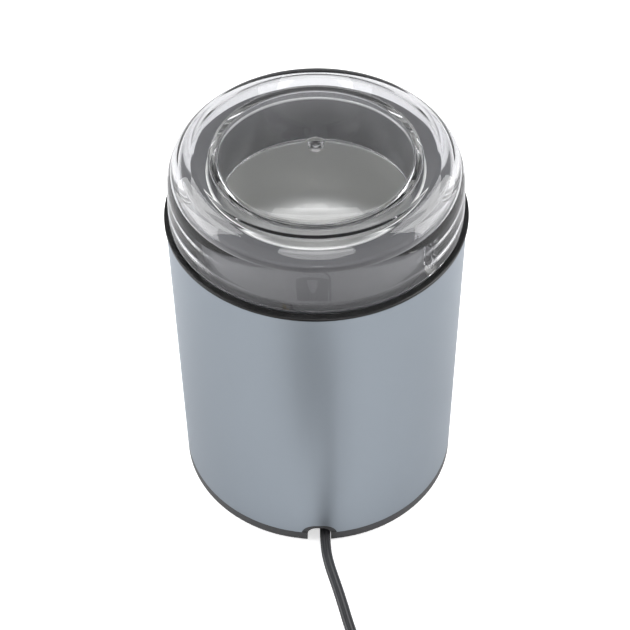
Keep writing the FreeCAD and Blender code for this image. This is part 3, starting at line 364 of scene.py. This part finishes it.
def spun_shell(name, section, body, finish, replaced=(), around=256, arc=8):
    """Spins a closed half section of (radius, height, rounding) corners about the upright axis."""
    shape = bmesh.new()
    corners = [shape.verts.new((radius * mm, 0.0, height * mm)) for radius, height, rounding in section]
    shape.faces.new(corners)
    spots = [corner.co.copy() for corner in corners]
    for index, (radius, height, rounding) in enumerate(section):
        if not rounding:
            continue
        back = (spots[index - 1] - spots[index]).normalized()
        forth = (spots[(index + 1) % len(spots)] - spots[index]).normalized()
        reach = rounding * mm / math.tan(back.angle(forth) / 2)
        finer = 1 if rounding < 8 else 2 if rounding < 20 else 4    # wide arcs take more steps
        bmesh.ops.bevel(shape, geom=[corners[index]], offset=reach, offset_type="OFFSET", affect="VERTICES",
                        segments=finer * arc, profile=0.5, material=-1, clamp_overlap=True)
    bmesh.ops.delete(shape, geom=shape.faces[:], context="FACES_ONLY")
    on_axis = [edge for edge in shape.edges if max(abs(vert.co.x) for vert in edge.verts) < 1e-7]
    if on_axis:
        bmesh.ops.delete(shape, geom=on_axis, context="EDGES")
    bmesh.ops.spin(shape, geom=shape.verts[:] + shape.edges[:], cent=(0, 0, 0), axis=(0, 0, 1),
                   dvec=(0, 0, 0), angle=2 * math.pi, steps=around, use_merge=True, use_normal_flip=False,
                   use_duplicate=False)
    bmesh.ops.remove_doubles(shape, verts=shape.verts[:], dist=1e-7)
    bmesh.ops.recalc_face_normals(shape, faces=shape.faces[:])
    finished(name, shape, body, finish, replaced)


bowl_steel = Finish("bowl_steel", Roughness=0.45, Metallic=1.0)
rings = bowl_steel.noise(1.2, 4.0, 0.6, (0.15, 0.15, 6.0))
haze = bowl_steel.noise(22.0, 4.0, 0.62, (1.0, 0.35, 1.6))
steel_tone = rings * 0.25 + haze * 0.75
bowl_steel.feed("Base Color", bowl_steel.blend(steel_tone, (0.55, 0.55, 0.53, 1), (0.71, 0.71, 0.69, 1)))
bowl_steel.feed("Roughness", 0.42 + steel_tone * 0.16)
bowl_steel.bumps(rings, 0.002)

sheet = 0.6
steel_edge = 112.7
bowl_floor = 84.1
bowl_corner = 9.0
eye_radius = 5.2
eye_top = 87.1
bowl_outline = [
    (33.5 + sheet, steel_edge, 0), (33.2 + sheet, bowl_floor - sheet, bowl_corner + sheet),
    (7.9, bowl_floor - sheet, 0), (6.9, eye_top - sheet, 0), (eye_radius, eye_top - sheet, 0),
    (eye_radius, eye_top, 0), (7.2, eye_top, 0.6), (8.2, bowl_floor, 1.0), (33.2, bowl_floor, bowl_corner),
    (33.0, steel_edge - 0.2, 0.25), (33.5, steel_edge, 0.25),
]
spun_shell("steel_bowl", bowl_outline, "housing", bowl_steel, ["grinding_bowl"])

trim_top = 130.0
trim_skirt = 113.4
lining_foot = 112.8
flange_clear = 123.3
overhang_under = 126.2
# The trim's inner face, from lining_foot up to trim_top, is the dark lining: painted shade over the steel
# mouth.
trim_outline = [
    (33.6, lining_foot, 0.2), (34.8, lining_foot, 0), (34.8, flange_clear, 0), (40.7, flange_clear, 0),
    (40.7, trim_skirt, 0), (41.0, trim_skirt, 0.1), (41.0, overhang_under - 0.2, 0.2),
    (41.5, overhang_under, 0.2), (41.4, trim_top, 1.2), (34.4, trim_top + 0.4, 0), (33.8, trim_top, 0.4),
]
spun_shell("rim_trim", trim_outline, "housing", housing_plastic)

lip_inner, lip_outer, lip_height = 33.7, 34.5, 0.8
lip_outline = [
    (lip_inner, trim_top, 0.35), (lip_outer, trim_top, 0.3), (lip_outer, trim_top + lip_height, 0.35),
    (lip_inner, trim_top + lip_height, 0.35),
]
spun_shell("bowl_lip", lip_outline, "housing", bowl_steel, arc=4)


# ---- Clear lid ----
# One thick moulding in clear plastic: drafted wall with a stepped spigot below, rounded shoulder and crest, a
# dome with the gate mark in its middle, and an inner skirt that hangs in the bowl's mouth. Two small ribs
# stand inside its wall.

clear = Finish("lid_clear", Roughness=0.008, IOR=1.50, Transmission_Weight=1.0, Specular_IOR_Level=0.5,
               Base_Color=(0.965, 0.968, 0.978, 1.0))
lamp_ray = clear.add("LightPath", output="Is Shadow Ray")
lit_through = clear.add("BsdfTransparent", {}, {"Color": (0.86, 0.87, 0.88, 1.0)})
clear.show(clear.add("MixShader", {}, {0: lamp_ray, 1: clear.surface, 2: lit_through}))

spigot_foot = 111.55
spigot_ledge = 115.45
skirt_foot = 115.1
gate_top = 142.0
lid_outside = [
    (43.4, spigot_foot, 0.3), (45.6, spigot_foot, 0.4), (45.6, spigot_ledge, 0), (47.3, spigot_ledge, 0.8),
    (46.1, 132.3, 12.0), (42.6, 137.0, 12.0), (39.2, 139.2, 4.0), (32.8, 137.45, 0.3),
]
lid_dome = [
    (31.8, 137.9, 0.5), (16.1, 141.27, 120.0), (2.5, 141.27, 0.2), (2.3, gate_top, 0.8), (0.0, gate_top, 0),
]
lid_dome_under = [
    (0.0, 139.6, 0), (1.5, 139.3, 0.8), (2.4, 138.55, 0.3), (16.0, 138.7, 120.0), (30.7, 135.5, 1.2),
]
lid_skirt = [(30.7, skirt_foot, 0.5), (32.7, skirt_foot, 0.5)]
lid_cavity = [
    (33.0, 134.9, 1.0), (38.2, 136.4, 1.5), (41.0, 134.8, 3.0), (43.5, 130.7, 3.5), (43.4, 112.75, 0),
]
spun_shell("clear_lid", lid_outside + lid_dome + lid_dome_under + lid_skirt + lid_cavity, "lid", clear,
           ["lid"], around=288, arc=9)

rib_depth, rib_width, rib_foot = 1.7, 1.0, 115.4
rib_middle = 42.45
for rib_azimuth, rib_top in ((51.0, 124.0), (58.0, 121.0)):
    shape = bmesh.new()
    bmesh.ops.create_cube(shape, size=1.0)
    bmesh.ops.scale(shape, vec=(rib_depth * mm, rib_width * mm, (rib_top - rib_foot) * mm), verts=shape.verts)
    bmesh.ops.bevel(shape, geom=shape.edges[:], offset=0.15 * mm, offset_type="OFFSET", affect="EDGES",
                    segments=2, profile=0.5, material=-1, clamp_overlap=True)
    bmesh.ops.translate(shape, vec=(rib_middle * mm, 0, (rib_top + rib_foot) / 2 * mm), verts=shape.verts)
    bmesh.ops.rotate(shape, cent=(0, 0, 0), matrix=Matrix.Rotation(math.radians(rib_azimuth - 90.0), 3, "Z"),
                     verts=shape.verts)
    finished("lid_rib_%d" % rib_azimuth, shape, "lid", clear)


# ---- Turning group ----
# Ground steel shaft with the laminated core, its copper winding and the brass commutator pressed on. The fan
# and the drive hub are moulded nylon, and the stamped blade is held down by a nut.

machined = metal("machine_steel", (0.42, 0.42, 0.43), (0.55, 0.55, 0.56), 0.34, 1.5, (1.0, 1.0, 0.2))
blade_metal = metal("blade_steel", (0.50, 0.50, 0.50), (0.62, 0.62, 0.62), 0.24, 3.0, (0.3, 2.0, 1.0))
laminated = metal("lamination_steel", (0.16, 0.16, 0.17), (0.30, 0.30, 0.31), 0.50, 0.6, (0.02, 0.02, 1.0))
enamelled = metal("copper_wire", (0.42, 0.15, 0.06), (0.62, 0.25, 0.11), 0.34, 0.7, (1.0, 1.0, 0.3))
black_nylon = moulded("moulded_black", (0.028, 0.028, 0.030), 0.46)
dress(machined, "motor_shaft", "blade_nut")
dress(blade_metal, "blade")
dress(laminated, "rotor_core")
dress(enamelled, "rotor_winding")
dress(turned_brass, "commutator")
dress(black_nylon, "cooling_fan", "drive_hub")


# ---- Motor frame ----
# Laminated stator with its field coils, between two steel brackets that are drawn together by screws.
# Sintered bushes carry the shaft, carbon brushes slide in nylon holders, and rubber mounts hang it all under
# the bowl.

sintered = metal("bronze", (0.42, 0.29, 0.14), (0.50, 0.36, 0.19), 0.46, 0.5)
spring_wire = metal("spring_steel", (0.45, 0.45, 0.44), (0.58, 0.58, 0.56), 0.30)
white_nylon = moulded("moulded_white", (0.66, 0.65, 0.62), 0.42)
pressed_carbon = moulded("carbon", (0.035, 0.035, 0.037), 0.55, 0.25, 0.01)
dress(laminated, "stator")
dress(enamelled, "field_coils")
dress(machined, "upper_bracket", "lower_bracket", "tie_screws", "mount_screws")
dress(sintered, "upper_bearing", "lower_bearing")
dress(white_nylon, "brush_holders")
dress(pressed_carbon, "carbon_brushes")
dress(spring_wire, "brush_springs")
dress(soft_rubber, "motor_mounts", "shaft_seal")


# ---- Switch and wiring ----
# The lid pushes a sprung nylon plunger down on a snap switch in a moulded holder. In the base, a clamp grips
# the lead, and its wires run over a terminal block with a boxed capacitor beside it.

yellow_case = moulded("capacitor_yellow", (0.62, 0.46, 0.06), 0.30)
sleeving = moulded("lead_insulation", (0.30, 0.13, 0.05), 0.45)
dress(white_nylon, "switch_plunger", "switch_button", "terminal_block")
dress(spring_wire, "plunger_spring")
dress(black_nylon, "switch_holder", "snap_switch", "cord_clamp")
dress(machined, "base_screws")
dress(yellow_case, "suppressor_capacitor")
dress(sleeving, "internal_leads")


# ---- Table ----
# Wide pale sheet that the grinder stands on. To the camera it is lifted to white, so that it runs out into a
# white background and keeps the shadows. Lengths in metres.

table_half = 6.0
sheet_shape = bmesh.new()
bmesh.ops.create_grid(sheet_shape, x_segments=1, y_segments=1, size=table_half)
table_mesh = bpy.data.meshes.new("table")
sheet_shape.to_mesh(table_mesh)
sheet_shape.free()
table = bpy.data.objects.new("table", table_mesh)
bpy.context.scene.collection.objects.link(table)

pale = Finish("table_white", Roughness=0.7, Specular_IOR_Level=0.1, Base_Color=(0.74, 0.74, 0.745, 1.0))
seen = pale.add("LightPath", output="Is Camera Ray")
paper = pale.add("BsdfDiffuse", {}, {"Color": grey(0.88)})
lift = pale.add("Emission", {}, {"Color": grey(1.0), "Strength": 0.62})
white = pale.add("AddShader", {}, {0: paper, 1: lift})
pale.show(pale.add("MixShader", {}, {0: seen, 1: pale.surface, 2: white}))
table_mesh.materials.append(pale.material)


# ---- Light ----
# Two broad soft boxes at the sides light the grinder. A round one behind the camera and a narrow one overhead
# only show as highlights in the gloss, and the room is bright near the table and dimmer above. In metres.

def soft_box(name, spot, aim, wide, tall, watts, gloss_only=False):
    lamp = bpy.data.lights.new(name, "AREA")
    lamp.shape = "ELLIPSE" if gloss_only else "RECTANGLE"
    lamp.size = wide
    lamp.size_y = tall
    lamp.energy = watts
    holder = bpy.data.objects.new(name, lamp)
    holder.location = spot
    holder.rotation_euler = (Vector(aim) - Vector(spot)).to_track_quat("-Z", "Y").to_euler()
    holder.visible_diffuse = not gloss_only
    bpy.context.scene.collection.objects.link(holder)


body_middle, lid_height = (0, 0, 0.07), (0, 0, 0.1)
soft_box("left_box", (-1.1, 0.15, 0.60), body_middle, 1.1, 1.2, 17.0)
soft_box("right_box", (1.1, 0.15, 0.60), body_middle, 1.1, 1.2, 17.0)
soft_box("front_box", (0, -0.95, 0.97), lid_height, 1.1, 0.8, 8.0, True)
soft_box("top_box", (0, 0.42, 1.15), lid_height, 0.8, 0.08, 0.5, True)

near_table, overhead = (0.85, 0.85, 0.88, 1.0), (0.46, 0.46, 0.47, 1.0)
world = bpy.data.worlds.new("room")
bpy.context.scene.world = world
world.use_nodes = True
room = Graph(world.node_tree)
direction = room.add("TexCoord", output="Generated")
steepness = room.add("SeparateXYZ", {}, {0: direction}, "Z")
wall = room.add("ValToRGB", {"stops": [(0.05, near_table), (0.65, overhead)]}, {0: steepness})
facing_camera = room.add("LightPath", output="Is Camera Ray")
glow = room.add("Background", {}, {"Color": room.blend(facing_camera, wall, grey(1.0)), "Strength": 1.0})
room.add("OutputWorld", {}, {"Surface": glow})
